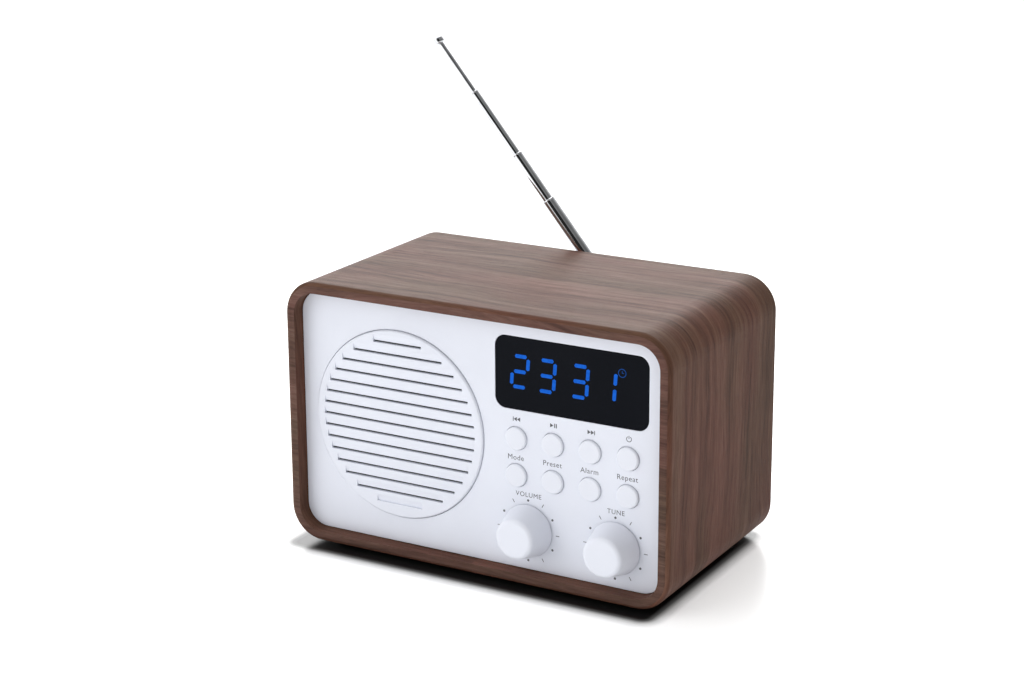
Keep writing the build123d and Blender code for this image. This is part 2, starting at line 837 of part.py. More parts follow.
with BuildPart() as antenna_swivel:
    with BuildSketch(facing(disc_back)):
        with Locations((pivot.X, pivot.Z)):
            Circle(swivel_radius)
    extrude(amount=disc_back - (cover_face + 0.1))
    with BuildSketch(facing(disc_back)):
        with Locations((pivot.X, pivot.Z)):
            Circle(swivel_shaft)
    extrude(amount=disc_back - shaft_end)
    # Two ears, side by side across the rod, that carry the hinge pin
    with BuildSketch(lug_plane):
        Circle(fork_radius)
        with Locations(((disc_back - 0.5 - pivot.Y) / 2, 0)):
            Rectangle(pivot.Y - disc_back + 0.5, 2 * fork_radius)
    extrude(amount=fork_half, both=True)
    with BuildSketch(lug_plane):
        with Locations((fork_radius / 2, 0)):
            Rectangle(3 * fork_radius, 3 * fork_radius)
    extrude(amount=fork_gap, both=True, mode=Mode.SUBTRACT)
    with BuildSketch(lug_plane):
        Circle(hinge_pin_radius)
    extrude(amount=fork_half, both=True, mode=Mode.SUBTRACT)
    with BuildSketch(facing(shaft_end + 3.0)):
        with Locations((pivot.X, pivot.Z)):
            Circle(1.0)
    extrude(amount=3.0, mode=Mode.SUBTRACT)
save(antenna_swivel, "antenna_swivel")

with BuildPart() as antenna_hinge_pin:
    with BuildSketch(lug_plane):
        Circle(hinge_pin_radius)
    extrude(amount=fork_half, both=True)
save(antenna_hinge_pin, "antenna_hinge_pin")

with BuildPart() as antenna_swivel_screw:
    with BuildSketch(facing(shaft_end)):
        with Locations((pivot.X, pivot.Z)):
            Circle(4.2)
    extrude(amount=1.4)
    with BuildSketch(facing(shaft_end + 2.8)):
        with Locations((pivot.X, pivot.Z)):
            Circle(1.0)
    extrude(amount=2.8)
save(antenna_swivel_screw, "antenna_swivel_screw")

with BuildPart() as antenna_contact_ring:
    with BuildSketch(facing(cover_inner)):
        with Locations((pivot.X, pivot.Z)):
            Circle(5.5)
            Circle(swivel_shaft + 0.1, mode=Mode.SUBTRACT)
    extrude(amount=cover_inner - ring_front)
save(antenna_contact_ring, "antenna_contact_ring")

for number, radius in enumerate(section_radius):
    is_last = number == len(section_radius) - 1
    top = section_joint[number + 1]
    bottom = top - section_length[number]
    with BuildPart() as section:
        with BuildSketch(rod_plane.offset(bottom)):
            Circle(radius)
        extrude(amount=section_length[number])
        fillet(section.faces().sort_by(Axis(pivot, along))[-1].edges(), 0.25)
        if not is_last:
            with BuildSketch(rod_plane.offset(bottom + 2.0)):
                Circle(section_radius[number + 1] + slide_clearance)
            extrude(amount=section_length[number] - 2.0, mode=Mode.SUBTRACT)
        if number == 0:
            # A flat tongue below the tube, round about the hinge pin
            with BuildSketch(lug_plane):
                Circle(2.5)
                with Locations((0, bottom / 2)):
                    Rectangle(4.4, bottom)
                Circle(hinge_pin_radius + 0.05, mode=Mode.SUBTRACT)
            extrude(amount=lug_half, both=True)
    save(section, f"antenna_section_{number + 1}")

with BuildPart() as antenna_tip:
    with BuildSketch(rod_plane.offset(section_joint[-1])):
        Circle(tip_radius)
    extrude(amount=tip_length)
    fillet(antenna_tip.faces().filter_by(GeomType.PLANE).edges(), 1.0)
save(antenna_tip, "antenna_tip")

# ---------------------------------------------------------------- inner wiring


def wire(route, radius, bend):
    """A held wire along straight runs joined by tangent arcs."""
    with BuildPart() as lead:
        with BuildLine() as path:
            FilletPolyline(*route, radius=bend)
        with BuildSketch(Plane(origin=path.line @ 0, z_dir=path.line % 0)):
            Circle(radius)
        sweep()
    return lead


save(
    wire(
        [
            (4.0, basket_front + 1.5, grille_z),
            (4.0, board_back + 9.0, grille_z),
            (22.0, board_back + 9.0, grille_z),
            (22.0, board_back, grille_z),
        ],
        0.9,
        5.4,
    ),
    "speaker_wire",
)
save(
    wire(
        [
            (pivot.X + 4.9, ring_front, pivot.Z),
            (pivot.X + 4.9, 12.0, pivot.Z),
            (48.0, -10.0, pivot.Z - 6.0),
            (48.0, board_back, pivot.Z - 6.0),
        ],
        0.6,
        8.0,
    ),
    "antenna_wire",
)
save(
    wire(
        [
            (40.0, board_back, base + 32.0),
            (40.0, -8.0, base + 32.0),
            (52.0, 12.0, base + 28.0),
            (52.0, rear_board_face, base + 28.0),
        ],
        1.5,
        9.0,
    ),
    "board_cable",
)
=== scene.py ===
import json
import math

import bmesh
import bpy
from mathutils import Matrix, Vector


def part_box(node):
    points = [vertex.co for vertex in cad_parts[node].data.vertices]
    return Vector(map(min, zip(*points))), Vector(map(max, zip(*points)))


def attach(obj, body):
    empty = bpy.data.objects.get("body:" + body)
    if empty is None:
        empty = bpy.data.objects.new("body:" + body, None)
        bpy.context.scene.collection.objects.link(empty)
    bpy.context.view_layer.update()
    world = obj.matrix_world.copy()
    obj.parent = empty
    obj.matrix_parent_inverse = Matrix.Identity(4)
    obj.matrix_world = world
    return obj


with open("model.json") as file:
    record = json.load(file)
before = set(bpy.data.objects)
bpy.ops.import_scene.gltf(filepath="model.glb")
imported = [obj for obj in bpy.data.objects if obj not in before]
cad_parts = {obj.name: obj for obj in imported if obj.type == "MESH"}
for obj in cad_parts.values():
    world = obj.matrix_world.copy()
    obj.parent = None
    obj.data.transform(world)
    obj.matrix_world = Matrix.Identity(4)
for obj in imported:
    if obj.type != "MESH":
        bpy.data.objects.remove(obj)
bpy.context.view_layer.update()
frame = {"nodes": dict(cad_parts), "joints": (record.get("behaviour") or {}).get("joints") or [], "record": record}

# The looks of a tabletop radio: every surface's material, the printed marks on the front and back,
# the lit clock digits, the antenna's collars, and a plain studio with the camera.
# Everything is in metres, in the same frame as the CAD model.

MM = 0.001


def middle(node):
    """The middle of a CAD node's box."""
    low, high = (Vector(corner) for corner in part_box(node))
    return (low + high) / 2


def on_face(node, face, shift):
    """A place on a face across Y, shifted along it from the middle of a node."""
    spot = middle(node) + shift
    spot.y = face
    return spot


# ---------------------------------------------------------------- node graphs

class Graph:
    """A material's nodes, with a short call for each kind that the surfaces here are made of."""

    def __init__(self, name):
        self.material = bpy.data.materials.new(name)
        self.material.use_nodes = True
        self.tree = self.material.node_tree
        self.surface = self.tree.nodes["Principled BSDF"]
        self.coords = self.node("ShaderNodeTexCoord").outputs

    def node(self, kind, **settings):
        made = self.tree.nodes.new(kind)
        for key, value in settings.items():
            setattr(made, key, value)
        return made

    def feed(self, socket, value):
        if isinstance(value, bpy.types.NodeSocket):
            self.tree.links.new(value, socket)
        else:
            socket.default_value = value

    def set(self, **values):
        """Sets the surface's own sockets: base_color=... is the socket Base Color."""
        for key, value in values.items():
            self.feed(self.surface.inputs[key.replace("_", " ").title().replace("Ior", "IOR")], value)

    def math(self, operation, a, b=0.0, clamp=False):
        made = self.node("ShaderNodeMath", operation=operation, use_clamp=clamp)
        self.feed(made.inputs[0], a)
        self.feed(made.inputs[1], b)
        return made.outputs[0]

    def split(self, vector):
        made = self.node("ShaderNodeSeparateXYZ")
        self.feed(made.inputs[0], vector)
        return made.outputs

    def join(self, x, y, z):
        made = self.node("ShaderNodeCombineXYZ")
        for socket, value in zip(made.inputs, (x, y, z)):
            self.feed(socket, value)
        return made.outputs[0]

    def stretch(self, vector, scale):
        made = self.node("ShaderNodeMapping")
        self.feed(made.inputs["Vector"], vector)
        made.inputs["Scale"].default_value = scale
        return made.outputs[0]

    def noise(self, vector, scale, detail=3.0, roughness=0.55, distortion=0.0):
        made = self.node("ShaderNodeTexNoise")
        self.feed(made.inputs["Vector"], vector)
        self.feed(made.inputs["Scale"], scale)
        self.feed(made.inputs["Detail"], detail)
        self.feed(made.inputs["Roughness"], roughness)
        self.feed(made.inputs["Distortion"], distortion)
        return made.outputs["Fac"]

    def ramp(self, value, stops):
        """stops are (position, colour), or (position, number) for a grey."""
        made = self.node("ShaderNodeValToRGB")
        self.feed(made.inputs[0], value)
        elements = made.color_ramp.elements
        while len(elements) < len(stops):
            elements.new(1.0)
        for element, (position, colour) in zip(elements, stops):
            element.position = position
            element.color = (*colour, 1.0) if isinstance(colour, tuple) else (colour,) * 3 + (1.0,)
        return made.outputs[0]

    def mix(self, share, a, b, blend="MIX"):
        made = self.node("ShaderNodeMix", data_type="RGBA", blend_type=blend)
        self.feed(made.inputs["Factor"], share)
        self.feed(made.inputs["A"], (*a, 1.0) if isinstance(a, tuple) else a)
        self.feed(made.inputs["B"], (*b, 1.0) if isinstance(b, tuple) else b)
        return made.outputs["Result"]

    def bump(self, height, depth, strength=1.0):
        """Raises the surface by the height's 0 to 1, times depth in metres."""
        made = self.node("ShaderNodeBump")
        self.feed(made.inputs["Height"], height)
        made.inputs["Distance"].default_value = depth
        made.inputs["Strength"].default_value = strength
        if self.surface.inputs["Normal"].is_linked:
            self.feed(made.inputs["Normal"], self.surface.inputs["Normal"].links[0].from_socket)
        self.feed(self.surface.inputs["Normal"], made.outputs[0])


# ---------------------------------------------------------------- materials

def walnut(name):
    """Open-pored walnut veneer, bent round the sleeve so that its grain runs right round it, with an
    edge band on the front rim whose grain runs level, tinted greyer as painted haze of reflected light."""
    g = Graph(name)
    low, high = (Vector(corner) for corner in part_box("wood_cabinet"))
    half_width = (high.x - low.x) / 2
    half_height = (high.z - low.z) / 2
    corner = 15.5 * MM
    flat_x = half_width - corner
    flat_z = half_height - corner
    x, y, z = g.split(g.coords["Object"])
    height = g.math("SUBTRACT", z, (low.z + high.z) / 2)
    aside = g.math("ABSOLUTE", x)
    past_x = g.math("MAXIMUM", g.math("SUBTRACT", aside, flat_x), 0.0)
    past_top = g.math("MAXIMUM", g.math("SUBTRACT", height, flat_z), 0.0)
    past_bottom = g.math("MAXIMUM", g.math("SUBTRACT", g.math("MULTIPLY", height, -1.0), flat_z), 0.0)
    upper = g.math("GREATER_THAN", height, 0.0)
    lower = g.math("SUBTRACT", 1.0, upper)
    # The length round the sleeve from the middle of its top: flat, bend, side, bend, flat
    top_turn = g.math("ADD", g.math("MULTIPLY", upper, g.math("ARCTAN2", past_x, past_top)),
                      g.math("MULTIPLY", lower, math.pi / 2))
    low_turn = g.math("MULTIPLY", lower,
                      g.math("SUBTRACT", math.pi / 2, g.math("ARCTAN2", past_x, past_bottom)))
    across = g.math("MINIMUM", aside, flat_x)
    on_bottom = g.math("GREATER_THAN", past_bottom, 0.0)
    run_x = g.math("ADD", across, g.math("MULTIPLY", on_bottom,
                                         g.math("MULTIPLY", g.math("SUBTRACT", flat_x, across), 2.0)))
    down = g.math("SUBTRACT", flat_z,
                  g.math("MAXIMUM", g.math("MINIMUM", height, flat_z), -flat_z))
    turned = g.math("MULTIPLY", g.math("ADD", top_turn, low_turn), corner)
    round_length = g.math("MULTIPLY", g.math("ADD", g.math("ADD", run_x, turned), down),
                          g.math("SIGN", x))
    # The flat face of the front rim takes its own band of level grain, and the painted haze tint below
    facing = g.split(g.coords["Normal"])[1]
    rim = g.math("LESS_THAN", facing, -0.93)
    other = g.math("SUBTRACT", 1.0, rim)
    along = g.math("ADD", g.math("MULTIPLY", rim, g.math("ADD", x, 0.4)),
                   g.math("MULTIPLY", other, round_length))
    over = g.math("ADD", g.math("MULTIPLY", rim, g.math("ADD", z, 0.7)), g.math("MULTIPLY", other, y))
    grain = g.join(along, over, 0.0)

    sway = g.noise(g.stretch(grain, (7.0, 16.0, 1.0)), 1.0, 2.0, 0.5)
    swayed = g.join(along, g.math("ADD", over, g.math("MULTIPLY", g.math("SUBTRACT", sway, 0.5), 0.024)), 0.0)
    bands = g.noise(g.stretch(swayed, (4.0, 85.0, 1.0)), 1.0, 2.0, 0.5)
    streaks = g.noise(g.stretch(swayed, (11.0, 330.0, 1.0)), 1.0, 4.0, 0.62)
    fibres = g.noise(g.stretch(swayed, (60.0, 2300.0, 1.0)), 1.0, 2.0, 0.6)
    pores = g.noise(g.stretch(swayed, (230.0, 4600.0, 1.0)), 1.0, 1.0, 0.5)
    patches = g.noise(g.stretch(swayed, (9.0, 34.0, 1.0)), 1.0, 2.0, 0.5)
    flecks = g.noise(g.stretch(swayed, (75.0, 800.0, 1.0)), 1.0, 2.0, 0.55)

    tone = g.math("ADD", g.math("MULTIPLY", bands, 0.36), g.math("MULTIPLY", streaks, 0.40))
    tone = g.math("ADD", tone, g.math("MULTIPLY", flecks, 0.24))
    colour = g.ramp(tone, [
        (0.37, (0.064, 0.030, 0.021)),
        (0.46, (0.106, 0.050, 0.033)),
        (0.54, (0.140, 0.067, 0.045)),
        (0.64, (0.190, 0.098, 0.068)),
    ])
    warm = g.ramp(patches, [(0.38, (0.94, 1.00, 0.94)), (0.62, (1.09, 0.96, 0.98))])
    colour = g.mix(1.0, colour, warm, "MULTIPLY")
    fine = g.ramp(fibres, [(0.32, 0.86), (0.60, 1.05)])
    colour = g.mix(1.0, colour, fine, "MULTIPLY")
    open_pore = g.ramp(pores, [(0.60, 0.0), (0.68, 1.0)])
    colour = g.mix(g.math("MULTIPLY", open_pore, 0.45), colour, (0.045, 0.026, 0.020))
    # Painted haze: the front rim's faces are tinted cooler and greyer to stand in for the sheen of reflected light
    # on them.
    painted_rim_haze = g.mix(rim, (1.0, 1.0, 1.0), (0.90, 1.07, 1.24))
    g.set(base_color=g.mix(1.0, colour, painted_rim_haze, "MULTIPLY"),
          roughness=g.ramp(tone, [(0.35, 0.56), (0.65, 0.48)]),
          specular_ior_level=0.08)
    g.bump(fibres, 0.04 * MM, 0.5)
    g.bump(g.ramp(pores, [(0.58, 1.0), (0.70, 0.0)]), 0.07 * MM, 0.6)
    return g.material


def softwood(name):
    """Sawn softwood with soft growth lines and a fuzzy saw finish."""
    g = Graph(name)
    grain = g.stretch(g.coords["Object"], (260.0, 30.0, 260.0))
    lines = g.noise(grain, 1.0, 4.0, 0.6, 0.4)
    saw = g.noise(g.stretch(g.coords["Object"], (2500.0, 900.0, 2500.0)), 1.0)
    g.set(base_color=g.ramp(lines, [(0.35, (0.46, 0.29, 0.15)), (0.62, (0.66, 0.48, 0.29))]),
          roughness=g.ramp(saw, [(0.3, 0.68), (0.7, 0.85)]))
    g.bump(saw, 0.08 * MM, 0.7)
    return g.material


def moulded(name, colour, shade, rough, grain, depth):
    """Injection-moulded plastic: a fine spark-eroded texture of that grain, in metres, with a faint
    uneven tone and a slightly uneven gloss."""
    g = Graph(name)
    cloud = g.noise(g.coords["Object"], 28.0, 3.0, 0.5)
    speck = g.noise(g.coords["Object"], 1.0 / grain, 2.0, 0.6)
    tone = g.math("ADD", g.math("MULTIPLY", cloud, 0.7), g.math("MULTIPLY", speck, 0.3))
    g.set(base_color=g.ramp(tone, [(0.36, shade), (0.60, colour)]),
          roughness=g.ramp(speck, [(0.3, rough - 0.05), (0.7, rough + 0.06)]),
          specular_ior_level=0.45)
    g.bump(speck, depth, 0.6)
    return g.material


def smoked(name):
    """Polished smoked window: near black, with a faint swirl of fine wiping marks."""
    g = Graph(name)
    swirl = g.noise(g.stretch(g.coords["Object"], (180.0, 180.0, 900.0)), 1.0, 4.0, 0.6, 1.5)
    depth = g.noise(g.coords["Object"], 20.0, 2.0)
    g.set(base_color=g.ramp(depth, [(0.35, (0.0026, 0.0034, 0.0060)), (0.65, (0.0040, 0.0050, 0.0080))]),
          roughness=g.ramp(swirl, [(0.35, 0.10), (0.75, 0.20)]),
          specular_ior_level=0.05)
    g.bump(swirl, 0.002 * MM, 0.4)
    return g.material


def woven(name, thread, dark, pitch):
    """Plain-woven cloth of that thread pitch, in metres."""
    g = Graph(name)
    x, _, z = g.split(g.coords["Object"])
    turns = 2 * math.pi / pitch
    warp = g.math("SINE", g.math("MULTIPLY", x, turns))
    weft = g.math("SINE", g.math("MULTIPLY", z, turns))
    weave = g.math("ADD", g.math("MULTIPLY", g.math("MULTIPLY", warp, weft), 0.5), 0.5)
    fuzz = g.noise(g.coords["Object"], 5000.0, 2.0)
    g.set(base_color=g.mix(g.math("MULTIPLY", weave, fuzz), dark, thread),
          roughness=g.ramp(fuzz, [(0.3, 0.80), (0.7, 0.95)]),
          sheen_weight=0.25)
    g.bump(weave, 0.12 * MM)
    return g.material


def paper(name):
    """Pressed paper pulp, dark and fibrous."""
    g = Graph(name)
    pulp = g.noise(g.coords["Object"], 900.0, 5.0, 0.7, 0.8)
    g.set(base_color=g.ramp(pulp, [(0.35, (0.018, 0.018, 0.019)), (0.65, (0.050, 0.049, 0.048))]),
          roughness=g.ramp(pulp, [(0.3, 0.75), (0.7, 0.95)]))
    g.bump(pulp, 0.12 * MM)
    return g.material


def rubber(name):
    """Matt black rubber with a dusty bloom."""
    g = Graph(name)
    bloom = g.noise(g.coords["Object"], 160.0, 4.0, 0.6)
    pits = g.noise(g.coords["Object"], 3500.0, 2.0)
    g.set(base_color=g.ramp(bloom, [(0.35, (0.016, 0.016, 0.017)), (0.70, (0.042, 0.041, 0.040))]),
          roughness=g.ramp(bloom, [(0.3, 0.70), (0.7, 0.88)]),
          specular_ior_level=0.3)
    g.bump(pits, 0.03 * MM, 0.6)
    return g.material


def metal(name, bright, dull, rough, drawn=(300.0, 300.0, 300.0), depth=0.004 * MM):
    """Metal with fine drawing or turning marks, stretched by the drawn scales, and faint handling
    marks that dull it in places."""
    g = Graph(name)
    marks = g.noise(g.stretch(g.coords["Object"], drawn), 1.0, 4.0, 0.6)
    touch = g.noise(g.coords["Object"], 120.0, 3.0, 0.6)
    g.set(base_color=g.ramp(touch, [(0.35, dull), (0.62, bright)]),
          metallic=1.0,
          roughness=g.ramp(g.math("ADD", g.math("MULTIPLY", marks, 0.5), g.math("MULTIPLY", touch, 0.5)),
                           [(0.32, rough), (0.68, rough * 1.9)]))
    g.bump(marks, depth, 0.5)
    return g.material


def circuit_board(name):
    """Green solder resist with faint copper tracks under it and silk-screened specks."""
    g = Graph(name)
    x, y, z = g.split(g.coords["Object"])
    flat = g.join(x, z, 0.0)
    tracks = g.node("ShaderNodeTexBrick", offset=0.37, squash=0.7, squash_frequency=3)
    g.feed(tracks.inputs["Vector"], flat)
    g.feed(tracks.inputs["Scale"], 260.0)
    g.feed(tracks.inputs["Mortar Size"], 0.05)
    g.feed(tracks.inputs["Color1"], (0.012, 0.105, 0.045, 1.0))
    g.feed(tracks.inputs["Color2"], (0.016, 0.130, 0.056, 1.0))
    g.feed(tracks.inputs["Mortar"], (0.040, 0.230, 0.085, 1.0))
    mottle = g.noise(g.coords["Object"], 500.0, 3.0)
    g.set(base_color=g.mix(g.ramp(mottle, [(0.60, 0.0), (0.75, 0.35)]), tracks.outputs["Color"],
                           (0.30, 0.20, 0.06)),
          roughness=g.ramp(mottle, [(0.3, 0.28), (0.7, 0.42)]))
    g.bump(tracks.outputs["Fac"], 0.04 * MM)
    return g.material


def coil(name):
    """Enamelled copper wire, closely wound."""
    g = Graph(name)
    _, y, _ = g.split(g.coords["Object"])
    turns = g.math("SINE", g.math("MULTIPLY", y, 2 * math.pi / (0.3 * MM)))
    ridge = g.math("ADD", g.math("MULTIPLY", turns, 0.5), 0.5)
    wear = g.noise(g.coords["Object"], 800.0)
    g.set(base_color=g.mix(g.math("MULTIPLY", ridge, wear), (0.22, 0.06, 0.02), (0.72, 0.30, 0.12)),
          metallic=0.9,
          roughness=g.ramp(wear, [(0.3, 0.22), (0.7, 0.38)]))
    g.bump(ridge, 0.08 * MM)
    return g.material


def printed_film(name):
    """The cell's shrink film: dark, with a lighter band round one end and fine wrinkles."""
    g = Graph(name)
    low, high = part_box("battery_cell")
    x, _, _ = g.split(g.coords["Object"])
    end = g.math("GREATER_THAN", x, high[0] - 0.22 * (high[0] - low[0]))
    wrinkle = g.noise(g.stretch(g.coords["Object"], (300.0, 300.0, 1200.0)), 1.0, 4.0, 0.6, 1.0)
    film = g.ramp(wrinkle, [(0.35, (0.030, 0.040, 0.060)), (0.65, (0.045, 0.058, 0.085))])
    g.set(base_color=g.mix(end, film, (0.52, 0.54, 0.56)),
          roughness=g.ramp(wrinkle, [(0.3, 0.22), (0.7, 0.40)]))
    g.bump(wrinkle, 0.05 * MM)
    return g.material


def socket_plastic(name, node, contact_radius):
    """Black moulded plastic, with a bright contact inside that radius of the socket's axis."""
    g = Graph(name)
    centre = middle(node)
    x, _, z = g.split(g.coords["Object"])
    out = g.math("SQRT", g.math("ADD",
                                g.math("POWER", g.math("SUBTRACT", x, centre.x), 2.0),
                                g.math("POWER", g.math("SUBTRACT", z, centre.z), 2.0)))
    contact = g.math("LESS_THAN", out, contact_radius)
    speck = g.noise(g.coords["Object"], 4000.0, 2.0)
    body = g.ramp(speck, [(0.3, (0.012, 0.012, 0.013)), (0.7, (0.022, 0.022, 0.023))])
    g.set(base_color=g.mix(contact, body, (0.70, 0.68, 0.62)),
          metallic=contact,
          roughness=g.ramp(speck, [(0.3, 0.34), (0.7, 0.46)]))
    g.bump(speck, 0.02 * MM, 0.5)
    return g.material


def usb_metal(name):
    """The port's plated shell, with its plastic tongue inside."""
    g = Graph(name)
    low, high = (Vector(corner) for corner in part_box("usb_socket"))
    x, y, z = g.split(g.coords["Object"])
    inside_x = g.math("LESS_THAN", g.math("ABSOLUTE", g.math("SUBTRACT", x, (low.x + high.x) / 2)), 5.6 * MM)
    inside_z = g.math("LESS_THAN", g.math("ABSOLUTE", g.math("SUBTRACT", z, (low.z + high.z) / 2)), 2.4 * MM)
    tongue = g.math("MULTIPLY", inside_x, inside_z)
    marks = g.noise(g.stretch(g.coords["Object"], (200.0, 1800.0, 200.0)), 1.0, 3.0)
    plate = g.ramp(marks, [(0.35, (0.50, 0.50, 0.51)), (0.65, (0.66, 0.66, 0.67))])
    g.set(base_color=g.mix(tongue, plate, (0.020, 0.020, 0.022)),
          metallic=g.math("SUBTRACT", 1.0, tongue),
          roughness=g.ramp(marks, [(0.3, 0.22), (0.7, 0.36)]))
    g.bump(marks, 0.006 * MM, 0.5)
    return g.material


def ink(name, colour):
    """Pad-printed ink, a little patchy where it took less well."""
    g = Graph(name)
    patch = g.noise(g.coords["Object"], 2600.0, 3.0, 0.6)
    pale = tuple(c * 1.35 + 0.01 for c in colour)
    g.set(base_color=g.ramp(patch, [(0.35, colour), (0.75, pale)]),
          roughness=g.ramp(patch, [(0.3, 0.45), (0.7, 0.60)]))
    return g.material


def lit(name, core, edge, strength):
    """A lit segment: light that is a little uneven across its diffuser."""
    g = Graph(name)
    glow = g.noise(g.coords["Object"], 700.0, 2.0, 0.5)
    light = g.ramp(glow, [(0.30, edge), (0.62, core)])
    g.set(base_color=g.mix(0.9, light, (0.0, 0.0, 0.0)), emission_color=light,
          emission_strength=strength, roughness=0.5, specular_ior_level=0.05)
    return g.material


white = (0.775, 0.800, 0.880)
white_shade = (0.750, 0.775, 0.855)
panel_plastic = moulded("panel_plastic", white, white_shade, 0.46, 0.35 * MM, 0.012 * MM)
control_plastic = moulded("control_plastic", (0.780, 0.803, 0.876), (0.760, 0.783, 0.856), 0.42,
                          0.25 * MM, 0.004 * MM)
black_plastic = moulded("black_plastic", (0.026, 0.026, 0.028), (0.015, 0.015, 0.016), 0.42,
                        0.3 * MM, 0.02 * MM)
wire_sleeve = moulded("wire_sleeve", (0.30, 0.028, 0.022), (0.22, 0.018, 0.015), 0.38, 0.6 * MM, 0.01 * MM)
display_block = moulded("display_block", (0.020, 0.024, 0.034), (0.012, 0.014, 0.020), 0.30,
                        0.4 * MM, 0.01 * MM)
steel = metal("zinc_steel", (0.60, 0.61, 0.62), (0.46, 0.46, 0.47), 0.22)
chrome = metal("antenna_chrome", (0.72, 0.73, 0.75), (0.62, 0.63, 0.65), 0.055,
               (60.0, 900.0, 60.0), 0.001 * MM)
black_zinc = metal("black_zinc", (0.20, 0.20, 0.21), (0.11, 0.11, 0.12), 0.26)
ferrite = metal("ferrite", (0.060, 0.060, 0.064), (0.036, 0.036, 0.039), 0.42)

finishes = {
    "walnut_veneer": walnut("walnut_veneer"),
    "softwood_block": softwood("softwood_block"),
    "white_panel_plastic": panel_plastic,
    "white_control_plastic": control_plastic,
    "smoked_window": smoked("smoked_window"),
    "display_block": display_block,
    "speaker_cloth": woven("speaker_cloth", (0.060, 0.060, 0.064), (0.012, 0.012, 0.013), 0.9 * MM),
    "cone_paper": paper("cone_paper"),
    "rubber_black": rubber("rubber_black"),
    "antenna_chrome": chrome,
    "zinc_steel": steel,
    "magnet_ferrite": ferrite,
    "screw_steel": black_zinc,
    "circuit_board": circuit_board("circuit_board"),
    "black_plastic": black_plastic,
    "copper_coil": coil("copper_coil"),
    "wire_sleeve": wire_sleeve,
    "cell_wrap": printed_film("cell_wrap"),
}
own_finish = {
    "dc_socket": socket_plastic("dc_socket_finish", "dc_socket", 1.2 * MM),
    "aux_socket": socket_plastic("aux_socket_finish", "aux_socket", 2.1 * MM),
    "usb_socket": usb_metal("usb_socket_finish"),
}
for part in frame["record"]["subparts"]:
    body = frame["nodes"][part["node"]]
    material = own_finish.get(part["node"], finishes[part["material_slot"]])
    body.data.materials.clear()
    body.data.materials.append(material)

# ---------------------------------------------------------------- printed and lit marks

ink_grey = ink("label_ink", (0.070, 0.072, 0.082))
ink_soft = ink("dial_ink", (0.095, 0.097, 0.108))
digit_light = lit("digit_light", (0.008, 0.120, 0.62), (0.004, 0.090, 0.50), 1.0)
icon_light = lit("icon_light", (0.010, 0.075, 0.32), (0.006, 0.055, 0.26), 0.8)

FRONT = Matrix.Rotation(math.pi / 2, 4, "X")
BACK = Matrix.Rotation(math.pi, 4, "Z") @ FRONT
panel_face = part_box("front_panel")[0][1]
window_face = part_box("display_window")[0][1]
ink_height = 0.03 * MM


def lay(mesh, name, place, turn, material, body="radio"):
    """Lays a mesh at a place, turned to face it, and fixes it to a body."""
    mesh.transform(Matrix.Translation(place) @ turn)
    mesh.materials.clear()
    mesh.materials.append(material)
    mark = bpy.data.objects.new(name, mesh)
    bpy.context.scene.collection.objects.link(mark)
    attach(mark, body)
    return mark


def outline_mesh(name, outlines, height=ink_height):
    """Thin raised shapes, one for each closed outline of (right, up) points."""
    sheet = bmesh.new()
    for outline in outlines:
        corners = [sheet.verts.new((right, up, 0.0)) for right, up in outline]
        face = sheet.faces.new(corners)
        raised = bmesh.ops.extrude_face_region(sheet, geom=[face])["geom"]
        tops = [item for item in raised if isinstance(item, bmesh.types.BMVert)]
        bmesh.ops.translate(sheet, verts=tops, vec=(0.0, 0.0, height))
    bmesh.ops.recalc_face_normals(sheet, faces=sheet.faces)
    mesh = bpy.data.meshes.new(name)
    sheet.to_mesh(mesh)
    sheet.free()
    return mesh


def text_mesh(name, words, size, spacing):
    """The words as a thin raised mesh, centred on its own origin."""
    curve = bpy.data.curves.new(name + "_curve", "FONT")
    curve.body = words
    curve.size = size
    curve.space_character = spacing
    curve.align_x = "CENTER"
    curve.align_y = "CENTER"
    curve.extrude = ink_height / 2
    curve.resolution_u = 4
    holder = bpy.data.objects.new(name + "_curve", curve)
    bpy.context.scene.collection.objects.link(holder)
    bpy.context.view_layer.update()
    graph = bpy.context.evaluated_depsgraph_get()
    mesh = bpy.data.meshes.new_from_object(holder.evaluated_get(graph))
    mesh.name = name
    bpy.data.objects.remove(holder)
    bpy.data.curves.remove(curve)
    return mesh


def circle(right, up, radius, steps=24):
    """An outline of a disc."""
    turns = [2 * math.pi * i / steps for i in range(steps)]
    return [(right + radius * math.cos(a), up + radius * math.sin(a)) for a in turns]


def arc_band(right, up, radius, width, start, end, steps=24):
    """Four-sided pieces of a curved band from one angle to another, in degrees."""
    pieces = []
    for i in range(steps):
        a, b = (math.radians(start + (end - start) * k / steps) for k in (i, i + 1))
        inner, outer = radius - width / 2, radius + width / 2
        pieces.append([(right + r * math.cos(t), up + r * math.sin(t))
                       for r, t in ((inner, a), (outer, a), (outer, b), (inner, b))])
    return pieces


def bar(right, up, width, height):
    """An outline of an upright rectangle about its middle."""
    w, h = width / 2, height / 2
    return [(right - w, up - h), (right + w, up - h), (right + w, up + h), (right - w, up + h)]


def arrow(right, up, width, height):
    """An outline of a triangle about its middle, pointing right, or left for a negative width."""
    back, tip = right - width / 2, right + width / 2
    return [(back, up - height / 2), (tip, up), (back, up + height / 2)]


